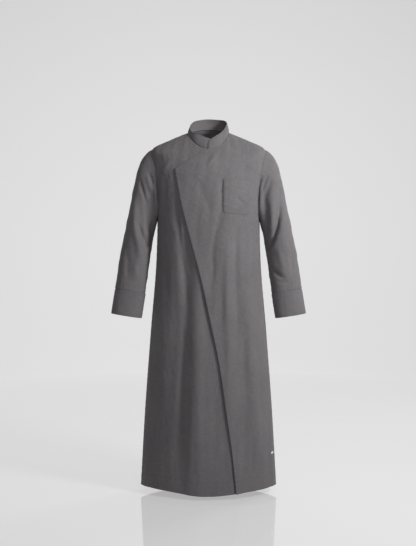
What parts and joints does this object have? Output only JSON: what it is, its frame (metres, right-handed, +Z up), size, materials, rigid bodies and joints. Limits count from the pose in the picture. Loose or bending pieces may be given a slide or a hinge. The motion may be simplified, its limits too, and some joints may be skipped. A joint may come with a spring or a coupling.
{
  "type": "thobe robe",
  "caption": "Long robe with a crossed front, low standing collar, long cuffed sleeves and a chest pocket, hollow and filled out as if worn.",
  "frame": {"origin": "middle of the neck opening at the base of the collar, where the wearer's shoulders carry the robe", "axes": "+Z up, the front faces -Y, +X is the wearer's left"},
  "size_m": [0.751, 0.322, 1.444],
  "materials": {
    "charcoal_cloth": "matt, fine slubby plain weave",
    "white_tag": "matt"
  },
  "bodies": {
    "root": {"left_front": "charcoal_cloth", "right_front": "charcoal_cloth", "back": "charcoal_cloth", "left_sleeve": "charcoal_cloth", "right_sleeve": "charcoal_cloth", "left_cuff": "charcoal_cloth", "right_cuff": "charcoal_cloth", "collar": "charcoal_cloth", "breast_pocket": "charcoal_cloth", "side_tag": "white_tag"}
  },
  "joints": []
}
